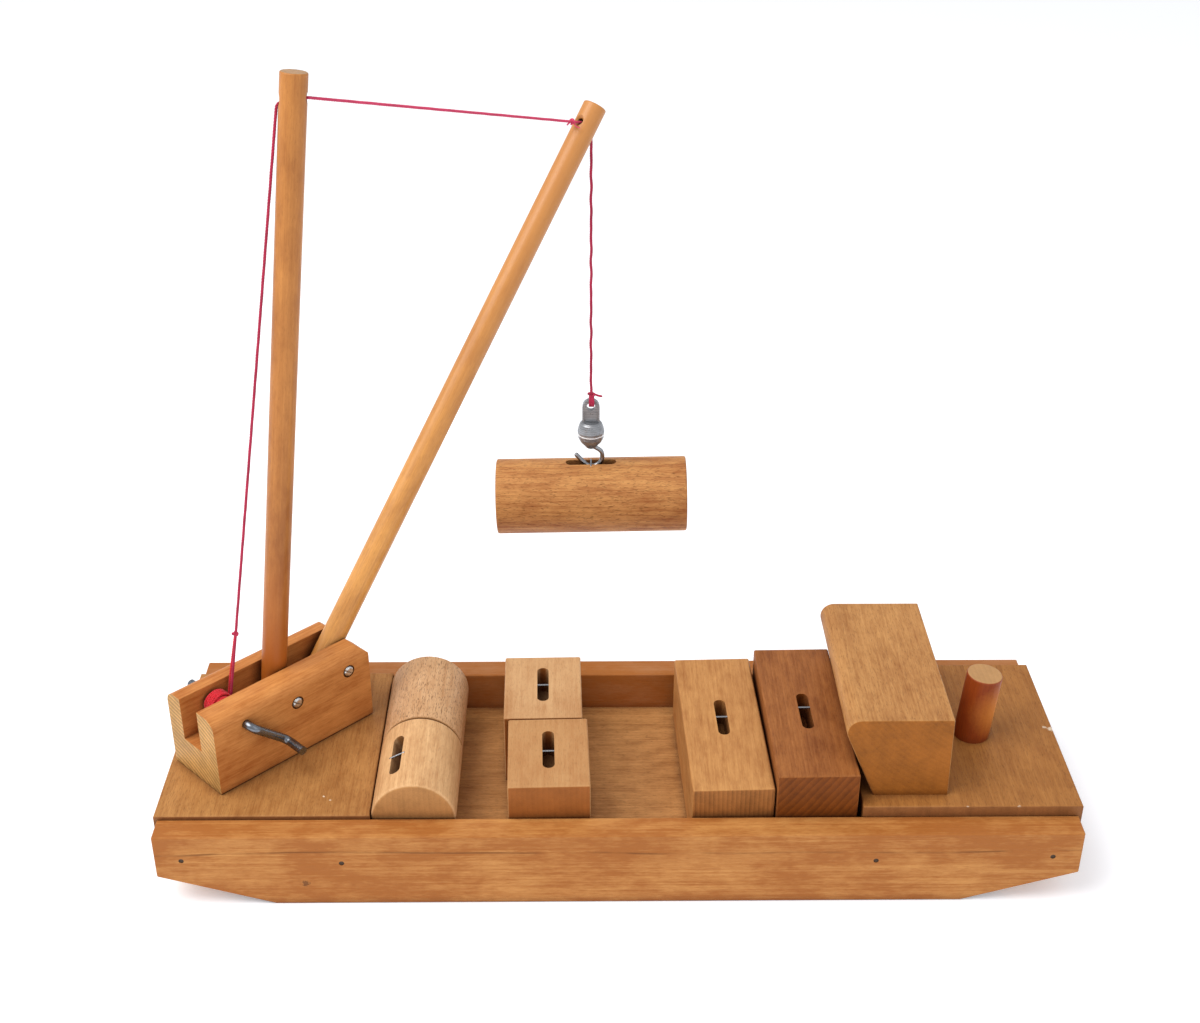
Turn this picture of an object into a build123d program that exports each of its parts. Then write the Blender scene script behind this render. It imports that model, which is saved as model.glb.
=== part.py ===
from build123d import *
from math import pi, radians, tan
import os

# Wooden crane barge, a floor toy. Millimetres, +Z up, +X towards the fore end, +Y towards the far side.
# The origin is the centre of the hull's flat underside.

# --- hull ---
hull_length = 450.0
hull_width = 147.0
side_height = 42.0
side_thickness = 13.6
floor_thickness = 20.0
rake_run = 56.5
rake_rise = 17.5
deck_overhang = 1.6
aft_deck_end = -121.4
aft_deck_top = 44.0
fore_deck_end = 119.0
fore_deck_top = 48.0
wood_edge = 0.8
hold_half_width = hull_width / 2 - side_thickness

nail_places = [(-212.0, 27.6), (-134.7, 25.7), (124.9, 25.7), (211.0, 27.6)]
nail_length = 28.0
nail_radius = 0.9
nail_head_radius = 1.3
nail_head_height = 1.2
nail_sink = 0.3

# --- deckhouse and funnel ---
deckhouse_length = 103.5
deckhouse_y = 0.7
deckhouse_height = 45.2
deckhouse_foot = 124.8
deckhouse_back = 161.8
deckhouse_brow = 105.9
deckhouse_brow_radius = 7.0
funnel_x = 183.3
funnel_y = -1.6
funnel_diameter = 18.0
funnel_height = 37.6
funnel_socket = 10.0
funnel_lean = 4.5

# --- crane: the slew axis stands on the aft deck, and the crane's own X runs along its base ---
slew_x = -176.3
slew_y = 3.4
slew_rest = 44.7
slew_gap = 0.5
base_length = 95.0
base_width = 40.0
base_top = 43.6
base_edge = 6.3
fore_corner_cut = 4.5
channel_width = 15.0
channel_y = 1.0
channel_floor = 19.6
dowel_diameter = 12.7
fit_gap = 0.1

mast_lean = 8.5
mast_foot_x = 0.6
mast_foot_z = 20.65
mast_length = 319.0
mast_bore_z = 324.7
mast_bore_turn = -40.0
mast_screw_x = 1.9
mast_screw_z = 30.8

boom_pivot_x = 34.4
boom_pivot_z = 33.8
boom_rest = 51.2
boom_length = 319.8
boom_heel = 8.0
boom_bore_at = 308.3

bore_diameter = 3.4
bore_mouth_diameter = 6.0
bore_mouth_depth = 1.2
mouth_flare = 0.4

screw_radius = 1.7
screw_length = 34.0
screw_head_radius = 2.9
screw_head_height = 2.0
screw_recess_radius = 3.5
screw_recess = 1.2
screw_slot_width = 0.8
screw_slot_depth = 0.9

slew_screw_radius = 2.2
slew_screw_length = 38.0
slew_head_radius = 4.4
slew_head_height = 3.0
slew_washer_radius = 8.0

# --- winch ---
crank_x = -28.9
crank_z = 34.1
crank_diameter = 4.5
crank_far_end = 28.0
crank_near_bend = -25.2
crank_arm_x = 18.6
crank_arm_z = -16.6
crank_handle = 13.7
crank_bend_radius = 4.0
winding_near = -1.5
winding_far = 8.2
winding_radius = 7.2
winding_end_radius = 6.0

# --- string ---
string_radius = 0.65
knot_radius = 1.7
string_gap = 0.6
boom_knot_reach = 4.1
boom_knot_drop = 1.3
back_string_y = 5.0
back_string_bottom_x = -21.1
back_string_bottom_z = 32.0
back_string_bend = 1.2
fall_knot_z = 117.4

# --- swivel weight and hook, in the crane's own height ---
eye_top = 114.2
eye_width = 10.0
eye_thickness = 3.4
eye_hole_radius = 2.5
eye_hole_z = 110.0
eye_panel_depth = 0.5
shoulder_z = 99.9
ring_top = 92.8
ring_bottom = 92.1
weight_top = 91.9
weight_bottom = 83.5
swivel_radius = 7.8
hook_wire_radius = 1.3
hook_turn_radius = 6.6
hook_bottom_z = 71.1
hook_head_radius = 3.0
hook_head_bottom = 94.8
hook_head_top = 96.4

# --- cargo ---
slot_width = 6.0
slot_length = 29.5
slot_depth = 15.0
staple_wire_radius = 0.55
staple_span = 9.0
staple_leg = 8.0
log_diameter = 41.5
hung_log_diameter = 44.0
log_edge = 1.6
hung_log_edge = 1.0
block_width = 40.4
short_length = 54.5
small_block_height = 40.4
long_block_length = 111.0
long_block_height = 37.5
tall_block_width = 40.0
tall_block_length = 108.5
tall_block_height = 45.8
cargo_edge = 1.0
log_column_x = -100.4
hung_log_yaw = -0.5
hung_log_tilt = 1.2


def soften(solid, radius):
    """Round every edge of a plain wooden piece."""
    return fillet(solid.edges(), radius)


def outline_along_y(points, near, far):
    """A solid with an outline drawn in X and Z, running along Y from near to far."""
    wire = Polyline(*[(x, near, z) for x, z in points], close=True)
    return extrude(make_face(wire), amount=far - near, dir=(0, 1, 0))


def rod(start, end, radius):
    """A round rod between two points."""
    axis = Vector(*end) - Vector(*start)
    return extrude(Plane(origin=start, z_dir=axis) * Circle(radius), amount=axis.length)


def wire_along(path, radius):
    """Round wire bent along a path."""
    return sweep(Plane(origin=path @ 0, z_dir=path % 0) * Circle(radius), path=path)


def on_crane(shape):
    """Turn a piece from the crane's own axes to its place on the deck."""
    return Location((slew_x, slew_y, aft_deck_top), (0, 0, slew_rest)) * shape


# ---------------------------------------------------------------- hull

def side_board(y):
    half = hull_length / 2
    outline = [
        (-half, side_height),
        (-half, rake_rise),
        (-half + rake_run, 0),
        (half - rake_run, 0),
        (half, rake_rise),
        (half, side_height),
    ]
    board = outline_along_y(outline, y - side_thickness / 2, y + side_thickness / 2)
    board = soften(board, wood_edge)
    return board - side_nails()


def bottom_board():
    half = hull_length / 2
    outline = [
        (-half, floor_thickness),
        (-half, rake_rise),
        (-half + rake_run, 0),
        (half - rake_run, 0),
        (half, rake_rise),
        (half, floor_thickness),
    ]
    return outline_along_y(outline, -hold_half_width, hold_half_width)


def deck_block(x_low, x_high, top):
    block = Pos((x_low + x_high) / 2, 0, (floor_thickness + top) / 2) * Box(
        x_high - x_low, 2 * hold_half_width, top - floor_thickness
    )
    upper = block.edges().group_by(Axis.Z)[-1]
    return fillet(upper, wood_edge) - side_nails()


def nail(x, z, side):
    """One nail driven through a side board into the deck block, its head just below the surface."""
    outer = side * (hull_width / 2 - nail_sink)
    head_end = outer - side * nail_head_height
    head = rod((x, outer, z), (x, head_end, z), nail_head_radius)
    shank = rod((x, head_end, z), (x, outer - side * nail_length, z), nail_radius)
    return head + shank


def side_nails():
    return Compound([nail(x, z, side) for side in (-1, 1) for x, z in nail_places])


def nail_sinkings():
    """The shallow holes left above the nail heads."""
    return Compound(
        [
            rod(
                (x, side * (hull_width / 2 + 1), z),
                (x, side * (hull_width / 2 - nail_sink), z),
                nail_head_radius,
            )
            for side in (-1, 1)
            for x, z in nail_places
        ]
    )


def aft_deck():
    deck = deck_block(-hull_length / 2 - deck_overhang, aft_deck_end, aft_deck_top)
    return deck - slew_screw()


def fore_deck():
    deck = deck_block(fore_deck_end, hull_length / 2 + deck_overhang, fore_deck_top)
    return deck - funnel_blank()


def deckhouse():
    """A solid wheelhouse whose face leans out over the hold."""
    base = fore_deck_top
    outline = [
        (deckhouse_foot, base),
        (deckhouse_back, base),
        (deckhouse_back - 1.0, base + deckhouse_height),
        (deckhouse_brow, base + deckhouse_height),
    ]
    near = deckhouse_y - deckhouse_length / 2
    house = outline_along_y(outline, near, near + deckhouse_length)
    brow = house.edges().filter_by(Axis.Y).group_by(Axis.Z)[-1].sort_by(Axis.X)[0]
    house = fillet(brow, deckhouse_brow_radius)
    rest = [e for e in house.edges() if e.center().Z > base + 0.01]
    return fillet(rest, wood_edge)


def funnel_blank():
    stick = Pos(0, 0, -funnel_socket) * Cylinder(
        funnel_diameter / 2,
        funnel_height + funnel_socket,
        align=(Align.CENTER, Align.CENTER, Align.MIN),
    )
    return Location((funnel_x, funnel_y, fore_deck_top), (0, funnel_lean, 0)) * stick


def funnel():
    stick = funnel_blank()
    return fillet(stick.edges().group_by(Axis.Z)[-1], wood_edge)


# ---------------------------------------------------------------- crane base

def slotted_screw(x, z):
    """A round-headed slotted screw through both cheeks of the channel, its head in a shallow recess."""
    seat = -base_width / 2 + screw_recess
    shank = rod((x, seat, z), (x, seat + screw_length, z), screw_radius)
    head_end = seat - screw_head_height
    head = rod((x, seat, z), (x, head_end, z), screw_head_radius)
    crown = head.edges().group_by(Axis.Y)[0]
    head = fillet(crown, screw_head_height * 0.75)
    slot = Pos(x, head_end + screw_slot_depth / 2, z) * Rot(0, 35, 0) * Box(
        2 * screw_head_radius + 1, screw_slot_depth, screw_slot_width
    )
    return shank + head - slot


def screw_recess_hole(x, z):
    face = -base_width / 2
    return rod((x, face - 1, z), (x, face + screw_recess, z), screw_recess_radius)


def screw_shank_hole(x, z, clearance):
    face = -base_width / 2
    return rod((x, face, z), (x, face + screw_recess + screw_length, z), screw_radius + clearance)


def crane_base():
    """A block with a channel along its length, open at both ends."""
    height = base_top - slew_gap
    block = Pos(0, 0, slew_gap + height / 2) * Box(base_length, base_width, height)
    fore_top = block.edges().filter_by(Axis.Y).group_by(Axis.Z)[-1].sort_by(Axis.X)[-1]
    block = chamfer(fore_top, fore_corner_cut)
    long_top = block.edges().filter_by(Axis.X).group_by(Axis.Z)[-1]
    block = fillet(long_top, base_edge)
    channel = Pos(0, channel_y, channel_floor + height / 2) * Box(
        base_length + 2, channel_width, height
    )
    block -= channel
    foot = block.edges().filter_by(Axis.X).group_by(Axis.Z)[0]
    block = fillet(foot, wood_edge / 2)
    block -= rod(
        (crank_x, -base_width, crank_z),
        (crank_x, base_width, crank_z),
        crank_diameter / 2 + fit_gap,
    )
    for x, z in ((mast_screw_x, mast_screw_z), (boom_pivot_x, boom_pivot_z)):
        block -= screw_recess_hole(x, z)
        block -= screw_shank_hole(x, z, 0)
    head_room = channel_floor - slew_head_height - 2 * fit_gap
    block -= rod((0, 0, -1), (0, 0, channel_floor), slew_screw_radius + fit_gap)
    block -= rod((0, 0, head_room), (0, 0, channel_floor + 1), slew_head_radius + 3 * fit_gap)
    return on_crane(block)


def slew_screw():
    """The screw that the crane turns on, driven through the base into the aft deck."""
    head_bottom = channel_floor - slew_head_height
    head = rod((0, 0, head_bottom), (0, 0, channel_floor - 2 * fit_gap), slew_head_radius)
    shank = rod((0, 0, head_bottom), (0, 0, head_bottom - slew_screw_length), slew_screw_radius)
    slot = Pos(0, 0, channel_floor) * Box(2 * slew_head_radius + 1, 1.0, 2.0)
    return on_crane(head + shank - slot)


def slew_washer():
    ring = rod((0, 0, 0), (0, 0, slew_gap - fit_gap), slew_washer_radius)
    ring -= rod((0, 0, -1), (0, 0, 1), slew_screw_radius)
    return on_crane(ring)


# ---------------------------------------------------------------- mast and boom

def dowel(length, heel):
    """A round stick along Z that starts a little below Z = 0."""
    stick = Pos(0, 0, -heel) * Cylinder(
        dowel_diameter / 2, length + heel, align=(Align.CENTER, Align.CENTER, Align.MIN)
    )
    return fillet(stick.edges(), wood_edge)


def string_bore(upper_mouth, lower_mouth):
    """The bore that the string goes through, opened out at both mouths."""
    bore = Cylinder(bore_diameter / 2, 2 * dowel_diameter)
    wide = bore_mouth_diameter / 2 + mouth_flare
    for side in (-1, 1):
        mouth = Cone(bore_diameter / 2, wide, bore_mouth_depth + mouth_flare)
        if side < 0:
            mouth = Rot(180, 0, 0) * mouth
        bore += Pos(0, 0, side * (dowel_diameter / 2 - bore_mouth_depth / 2)) * mouth
    middle = (upper_mouth + lower_mouth) / 2
    return Plane(origin=middle, z_dir=upper_mouth - lower_mouth).location * bore


def mast():
    stick = Location((mast_foot_x, channel_y, mast_foot_z), (0, mast_lean, 0)) * dowel(mast_length, 0)
    stick -= string_bore(mast_mouth(1), mast_mouth(-1))
    stick -= screw_shank_hole(mast_screw_x, mast_screw_z, 0)
    return on_crane(stick)


def boom():
    lean = 90 - boom_rest
    stick = dowel(boom_length, boom_heel)
    stick = Location((boom_pivot_x, channel_y, boom_pivot_z), (0, lean, 0)) * stick
    stick -= string_bore(boom_mouth(1), boom_mouth(-1))
    stick -= screw_shank_hole(boom_pivot_x, boom_pivot_z, fit_gap)
    return on_crane(stick)


# ---------------------------------------------------------------- winch and string

def crank():
    """One steel rod: the axle through both cheeks, the arm and the handle."""
    elbow_x = crank_x + crank_arm_x
    elbow_z = crank_z + crank_arm_z
    path = FilletPolyline(
        (crank_x, crank_far_end, crank_z),
        (crank_x, crank_near_bend, crank_z),
        (elbow_x, crank_near_bend, elbow_z),
        (elbow_x, crank_near_bend - crank_handle, elbow_z),
        radius=crank_bend_radius,
    )
    return on_crane(wire_along(path, crank_diameter / 2))


def string_winding():
    """The outer shape of the string wound on the crank's axle."""
    middle = (winding_near + winding_far) / 2
    inner = crank_diameter / 2
    outline = Polyline(
        (crank_x, winding_near, crank_z + inner),
        (crank_x, winding_near, crank_z + winding_end_radius),
    ) + ThreePointArc(
        (crank_x, winding_near, crank_z + winding_end_radius),
        (crank_x, middle, crank_z + winding_radius),
        (crank_x, winding_far, crank_z + winding_end_radius),
    ) + Polyline(
        (crank_x, winding_far, crank_z + winding_end_radius),
        (crank_x, winding_far, crank_z + inner),
        (crank_x, winding_near, crank_z + inner),
    )
    axle = Axis((crank_x, 0, crank_z), (0, 1, 0))
    return on_crane(revolve(make_face(outline), axis=axle))


def mast_mouth(side, out=0.0):
    """A point on the mast's level bore: side 1 is the fore mouth and side -1 the aft."""
    middle = mast_foot_x + (mast_bore_z - mast_foot_z) * tan(radians(mast_lean))
    outward = Vector(1, 0, 0).rotate(Axis.Z, mast_bore_turn)
    return Vector(middle, channel_y, mast_bore_z) + outward * side * (dowel_diameter / 2 + out)


def boom_direction():
    return Vector(0, 0, 1).rotate(Axis.Y, 90 - boom_rest)


def boom_mouth(side, out=0.0):
    """A point on the boom's bore: side 1 is the upper mouth and side -1 the lower."""
    upper = Vector(-1, 0, 0).rotate(Axis.Y, 90 - boom_rest)
    pivot = Vector(boom_pivot_x, channel_y, boom_pivot_z)
    return pivot + boom_direction() * boom_bore_at + upper * side * (dowel_diameter / 2 + out)


def back_string():
    """From the winding up to the mast's bore and through it."""
    path = FilletPolyline(
        (back_string_bottom_x, back_string_y, back_string_bottom_z),
        tuple(mast_mouth(-1, back_string_bend)),
        tuple(mast_mouth(1)),
        radius=back_string_bend,
    )
    tube = wire_along(path, string_radius)
    report_cord("back_string", path, tube)
    return on_crane(tube)


def span_ends():
    """From just clear of the mast's fore mouth to the knot outside the boom's upper mouth."""
    start = mast_mouth(1, string_gap)
    lip = boom_mouth(1) - boom_direction() * boom_knot_drop
    towards_mast = (start - lip).normalized()
    return start, lip + towards_mast * boom_knot_reach


def span_string(first_share, last_share):
    """A part of the straight string between the mast's bore and the knot at the boom."""
    start, end = span_ends()
    reach = (end - start) * (1 - knot_radius / (end - start).length)
    low = start + reach * first_share
    high = start + reach * last_share
    return on_crane(rod(tuple(low), tuple(high), string_radius))


def boom_knot():
    """The knot just outside the boom's upper mouth, and the string from it into the bore."""
    centre = span_ends()[1]
    inwards = boom_mouth(1, -2 * bore_mouth_depth) - centre
    neck = Cylinder(
        string_radius, inwards.length, align=(Align.CENTER, Align.CENTER, Align.MIN)
    )
    knot = Sphere(knot_radius) + neck
    return on_crane(Plane(origin=centre, z_dir=inwards).location * knot)


def fall_top():
    return boom_mouth(-1, -1.0)


def fall_string():
    """The hanging string, from the boom's lower mouth to the knot above the swivel's eye."""
    top = fall_top()
    bottom = Vector(top.X, top.Y, fall_knot_z)
    return on_crane(rod(tuple(top), tuple(bottom), string_radius))


def fall_knot():
    """The knot above the eye, with the loop that goes through it."""
    top = fall_top()
    knot = Pos(top.X, top.Y, fall_knot_z) * Sphere(knot_radius)
    bridge = (eye_top + eye_hole_z + eye_hole_radius) / 2
    loop = Torus(2.65, string_radius)
    loop = Location((top.X, top.Y, bridge), (0, 0, -slew_rest)) * Rot(0, 90, 0) * loop
    neck = rod((top.X, top.Y, fall_knot_z), (top.X, top.Y, bridge + 2.65), string_radius)
    knot = knot - rod((top.X, top.Y, fall_knot_z), (top.X, top.Y, fall_knot_z + 3), string_radius)
    return on_crane(knot + loop + neck)


def report_cord(name, path, tube):
    """Compare a cord's volume with its section times its length."""
    section = pi * string_radius ** 2
    print(name, "length", round(path.length, 1), "volume", round(tube.volume, 1),
          "section times length", round(section * path.length, 1), "bend radius", back_string_bend)


# ---------------------------------------------------------------- swivel and hook

def at_fall(shape):
    """Put a piece drawn about the Z axis, facing -Y, on the line of the hanging string."""
    top = fall_top()
    return on_crane(Location((top.X, top.Y, 0), (0, 0, -slew_rest)) * shape)


def turned(outline):
    """A round piece turned about Z from an outline given as radius and height."""
    face = make_face(Polyline(*[(r, 0, z) for r, z in outline], close=True))
    return revolve(face, axis=Axis.Z)


def swivel_eye():
    """The eye strap and the upper cup of the swivel weight, one casting."""
    radius = eye_width / 2
    strap = Pos(0, 0, (shoulder_z + eye_top - radius) / 2) * Box(
        eye_width, eye_thickness, eye_top - radius - shoulder_z + 0.4
    )
    crown = Pos(0, 0, eye_top - radius) * Rot(90, 0, 0) * Cylinder(radius, eye_thickness)
    strap = strap + crown
    panel_low = shoulder_z + 0.9
    panel_high = eye_hole_z - eye_hole_radius - 0.9
    for side in (-1, 1):
        depth_y = side * (eye_thickness / 2 - eye_panel_depth / 2)
        strap -= Pos(0, depth_y, (panel_low + panel_high) / 2) * Box(
            eye_width - 2.2, eye_panel_depth, panel_high - panel_low
        )
    strap -= Pos(0, 0, eye_hole_z) * Rot(90, 0, 0) * Cylinder(eye_hole_radius, eye_width)
    cup = turned(
        [
            (0, shoulder_z),
            (5.2, shoulder_z),
            (6.4, shoulder_z - 1.0),
            (7.2, shoulder_z - 3.0),
            (swivel_radius, shoulder_z - 5.6),
            (swivel_radius, ring_top + 0.8),
            (swivel_radius - 0.3, ring_top),
            (0, ring_top),
        ]
    )
    cavity = rod(
        (0, 0, hook_head_bottom - 3 * fit_gap),
        (0, 0, hook_head_top + 3 * fit_gap),
        hook_head_radius + 3 * fit_gap,
    )
    neck = rod((0, 0, ring_bottom - 1), (0, 0, hook_head_bottom), hook_wire_radius + fit_gap)
    return at_fall(strap + cup - cavity - neck)


def swivel_ring():
    """The bright washer between the two halves of the swivel."""
    ring = rod((0, 0, ring_bottom), (0, 0, ring_top), swivel_radius - 0.1)
    ring -= rod((0, 0, ring_bottom - 1), (0, 0, ring_top + 1), hook_wire_radius + fit_gap)
    return at_fall(ring)


def swivel_weight():
    """The lower half, which turns with the hook."""
    cup = turned(
        [
            (hook_wire_radius, weight_top),
            (swivel_radius - 0.2, weight_top),
            (swivel_radius - 0.4, weight_top - 2.0),
            (6.2, weight_top - 4.4),
            (4.6, weight_top - 6.2),
            (2.8, weight_bottom),
            (hook_wire_radius, weight_bottom),
        ]
    )
    return at_fall(cup)


def load_hook():
    """Steel wire hook. Its shank goes up through the lower half and is headed inside the upper one."""
    turn = hook_turn_radius
    low = hook_bottom_z
    path = FilletPolyline(
        (0, 0, hook_head_top - 0.2),
        (0, 0, low + 13.6),
        (turn, 0, low + 9.6),
        (turn, 0, low),
        (-turn / 3, 0, low),
        (-turn - 1.8, 0, low + 7.2),
        radius=[2.3, 4.2, 6.0, 5.0],
    )
    head = rod((0, 0, hook_head_bottom), (0, 0, hook_head_top), hook_head_radius)
    tip = path @ 1
    return at_fall(wire_along(path, hook_wire_radius) + head + Pos(*tip) * Sphere(hook_wire_radius))


# ---------------------------------------------------------------- cargo

def hook_slot(top, along, depth):
    """The slot that the crane's hook goes into, cut down from a top face along Y."""
    half = slot_width / 2
    straight = slot_length - slot_width
    middle = Pos(0, along, top - depth / 2 + 1) * Box(slot_width, straight, depth + 2)
    ends = [
        Pos(0, along + side * straight / 2, top - depth / 2 + 1) * Cylinder(half, depth + 2)
        for side in (-1, 1)
    ]
    return middle + ends[0] + ends[1]


def staple(top, along):
    """A wire staple bridging the slot, its crown flush with the surface."""
    crown_z = top - staple_wire_radius
    half = staple_span / 2
    path = FilletPolyline(
        (-half, along, crown_z - staple_leg),
        (-half, along, crown_z),
        (half, along, crown_z),
        (half, along, crown_z - staple_leg),
        radius=1.0,
    )
    return wire_along(path, staple_wire_radius)


def slotted_cargo(body, top, along, staple_along):
    """Cut the hook slot and the staple's own grooves, and return the wood and the staple."""
    clip = staple(top, staple_along)
    return body - hook_slot(top, along, slot_depth) - clip, clip


def block_cargo(width, length, height, along, staple_along):
    """A rectangular piece standing on Z = 0."""
    body = Pos(0, 0, height / 2) * Box(width, length, height)
    return slotted_cargo(soften(body, cargo_edge), height, along, staple_along)


def log_cargo(length, diameter, edge):
    """A round piece about the Y axis, with its slot on top."""
    body = Rot(90, 0, 0) * Cylinder(diameter / 2, length)
    body = fillet(body.edges().filter_by(GeomType.CIRCLE), edge)
    return slotted_cargo(body, diameter / 2, 0, 0)


def short_log():
    return log_cargo(short_length, log_diameter, log_edge)


def hung_log_place():
    """The long log hangs by its staple on the hook, close to X, its fore end a little high."""
    top = fall_top()
    crown = aft_deck_top + hook_bottom_z + hook_wire_radius + fit_gap
    on_line = Location((slew_x, slew_y, 0), (0, 0, slew_rest)) * Location((top.X, top.Y, 0))
    hung_from = (on_line.position.X, on_line.position.Y, crown)
    below = 2 * staple_wire_radius - hung_log_diameter / 2
    turn = Location(hung_from, (0, 0, 90 + hung_log_yaw))
    return turn * Location((0, 0, 0), (-hung_log_tilt, 0, 0)) * Location((0, 0, below))


floor = floor_thickness
log_centre = floor + log_diameter / 2

cargo = {
    "log_near": (short_log(), Location((log_column_x, -31.7, log_centre), (0, -28, 0))),
    "log_far": (short_log(), Location((log_column_x, 23.9, log_centre), (0, -90, 0))),
    "small_block_near": (
        block_cargo(block_width, short_length, small_block_height, 2.0, 1.2),
        Location((-34.7, -31.6, floor), (0, 0, 1.5)),
    ),
    "small_block_far": (
        block_cargo(block_width, short_length, small_block_height, 2.0, 2.0),
        Location((-38.4, 23.6, floor), (0, 0, 1.1)),
    ),
    "long_block": (
        block_cargo(block_width, long_block_length, long_block_height, 3.0, 3.8),
        Location((54.1, -2.8, floor), (0, 0, 1.8)),
    ),
    "tall_block": (
        block_cargo(tall_block_width, tall_block_length, tall_block_height, -1.3, 2.2),
        Location((95.6, -4.6, floor), (0, 0, 1.1)),
    ),
    "hung_log": (
        log_cargo(long_block_length, hung_log_diameter, hung_log_edge),
        hung_log_place(),
    ),
}

parts = {
    "bottom_board": bottom_board(),
    "near_side_board": side_board(-(hull_width - side_thickness) / 2) - nail_sinkings(),
    "far_side_board": side_board((hull_width - side_thickness) / 2) - nail_sinkings(),
    "aft_deck": aft_deck(),
    "fore_deck": fore_deck(),
    "side_nails": side_nails(),
    "deckhouse": deckhouse(),
    "funnel": funnel(),
    "crane_base": crane_base(),
    "slew_screw": slew_screw(),
    "slew_washer": slew_washer(),
    "mast": mast(),
    "mast_screw": on_crane(slotted_screw(mast_screw_x, mast_screw_z)),
    "boom": boom(),
    "boom_screw": on_crane(slotted_screw(boom_pivot_x, boom_pivot_z)),
    "crank": crank(),
    "string_winding": string_winding(),
    "back_string": back_string(),
    "span_string_mast_half": span_string(0, 0.5),
    "span_string_boom_half": span_string(0.5, 1),
    "boom_knot": boom_knot(),
    "fall_string": fall_string(),
    "fall_knot": fall_knot(),
    "swivel_eye": swivel_eye(),
    "swivel_ring": swivel_ring(),
    "swivel_weight": swivel_weight(),
    "load_hook": load_hook(),
}

for name, ((wood, clip), place) in cargo.items():
    parts[name] = place * wood
    parts[name + "_staple"] = place * clip

os.makedirs("parts", exist_ok=True)
for name, shape in parts.items():
    export_step(shape, os.path.join("parts", name + ".step"))
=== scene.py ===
"""Wooden crane barge, a floor toy, on a plain pale floor."""

import math
import random

import bpy
from mathutils import Matrix, Vector


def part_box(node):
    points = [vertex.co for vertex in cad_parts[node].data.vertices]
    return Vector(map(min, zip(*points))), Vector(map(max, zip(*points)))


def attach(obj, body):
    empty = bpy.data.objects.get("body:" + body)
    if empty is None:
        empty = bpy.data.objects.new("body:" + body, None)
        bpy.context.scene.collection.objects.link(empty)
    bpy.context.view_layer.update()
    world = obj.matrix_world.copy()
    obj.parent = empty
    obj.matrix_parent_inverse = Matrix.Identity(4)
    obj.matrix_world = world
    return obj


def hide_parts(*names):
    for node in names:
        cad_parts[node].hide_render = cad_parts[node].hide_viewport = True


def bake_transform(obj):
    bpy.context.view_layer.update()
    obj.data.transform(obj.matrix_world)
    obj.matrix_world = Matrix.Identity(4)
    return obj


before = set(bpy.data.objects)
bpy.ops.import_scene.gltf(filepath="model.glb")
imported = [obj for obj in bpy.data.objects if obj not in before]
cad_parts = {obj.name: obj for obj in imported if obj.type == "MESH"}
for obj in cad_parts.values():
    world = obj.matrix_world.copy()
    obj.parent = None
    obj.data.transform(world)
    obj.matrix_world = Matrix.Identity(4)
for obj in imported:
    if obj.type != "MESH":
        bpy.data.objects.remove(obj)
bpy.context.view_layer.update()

# ---------------------------------------------------------------- driving dimensions, in metres and radians

# camera, fitted to the hull's corners and the crane; its lens and sensor are in millimetres
CAMERA_PLACE = (-0.01828, -0.69138, 0.57516)
CAMERA_RIGHT = (0.99993, -0.01139, 0.00331)
CAMERA_UP = (0.00278, 0.49643, 0.86807)
CAMERA_LENS = 50.0
CAMERA_SENSOR = 36.0
CAMERA_NEAR = 0.05

# the crane's place and turn on the deck, and how far its two sticks lean from the vertical
CRANE_PLACE = Vector((-0.1763, 0.0034, 0.044))
CRANE_TURN = math.radians(44.7)
MAST_LEAN = math.radians(8.5)
BOOM_LEAN = math.radians(90 - 51.2)

# places in the crane's own axes
CRANK_AXLE = (-0.0289, 0.00335, 0.0341)
BACK_STRING_ROUTE = (
    (-0.0211, 0.0050, 0.0320),
    (0.0391, 0.0055, 0.3171),
    (0.0406, 0.0056, 0.3247),
    (0.0507, -0.0029, 0.3247),
)
BACK_KNOT = (-0.0136, 0.0051, 0.0680)
BACK_LOOP_ROUTE = (BACK_KNOT, (-0.0170, 0.0064, 0.0520), (-0.0214, 0.0062, 0.0330))
SPAN_ROUTE = ((0.0508, -0.0030, 0.3248), (0.0589, -0.0033, 0.3226), (0.2179, 0.0009, 0.2781))
BOOM_LIP = (0.2218, 0.0010, 0.2770)

# twisted string; a strand's offset and radius are shares of the string's diameter, and the kinks'
# waves are in radians per metre
STRING_DIAMETER = 0.0013
STRAND_COUNT = 3
STRAND_OFFSET = 0.28
STRAND_RADIUS = 0.33
STRAND_SIDES = 6
STRAND_TWIST = 0.0042
STRING_STEP = 0.0007
KINK_WAVES = (370, 520)
FALL_FULLNESS = 1.12
FALL_SWAY = 0.12
FALL_TOP_GAP = 0.0008
BACK_STRING_BEND_POINTS = 40
BOOM_NECK_REACH = 0.8

# string on the winch: the radius and the turns of each layer
WINDING_LAYERS = ((0.0029, 7), (0.0041, 7), (0.0053, 7), (0.0064, 5))
WINDING_PITCH = 0.00125
WINDING_STEP = 0.0011
WINDING_SIDES = 5
WINDING_POINTS_PER_TURN = 12
WINDING_END_ANGLE = math.radians(-12)
WINDING_LIFT = 0.00025
WINDING_SLIP = 0.00015
WINDING_SEED = 7

# knots: the radius of the trefoil, and its string's radius as a share of the string's diameter
SMALL_KNOT = 0.0014
FALL_KNOT = 0.0019
FALL_KNOT_SHIFT = (0.0003, 0, 0)
FALL_KNOT_AXIS = (0.3, 0, 1)
KNOT_STRING_RADIUS = 0.44
KNOT_POINTS = 60
KNOT_SIDES = 8

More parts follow.
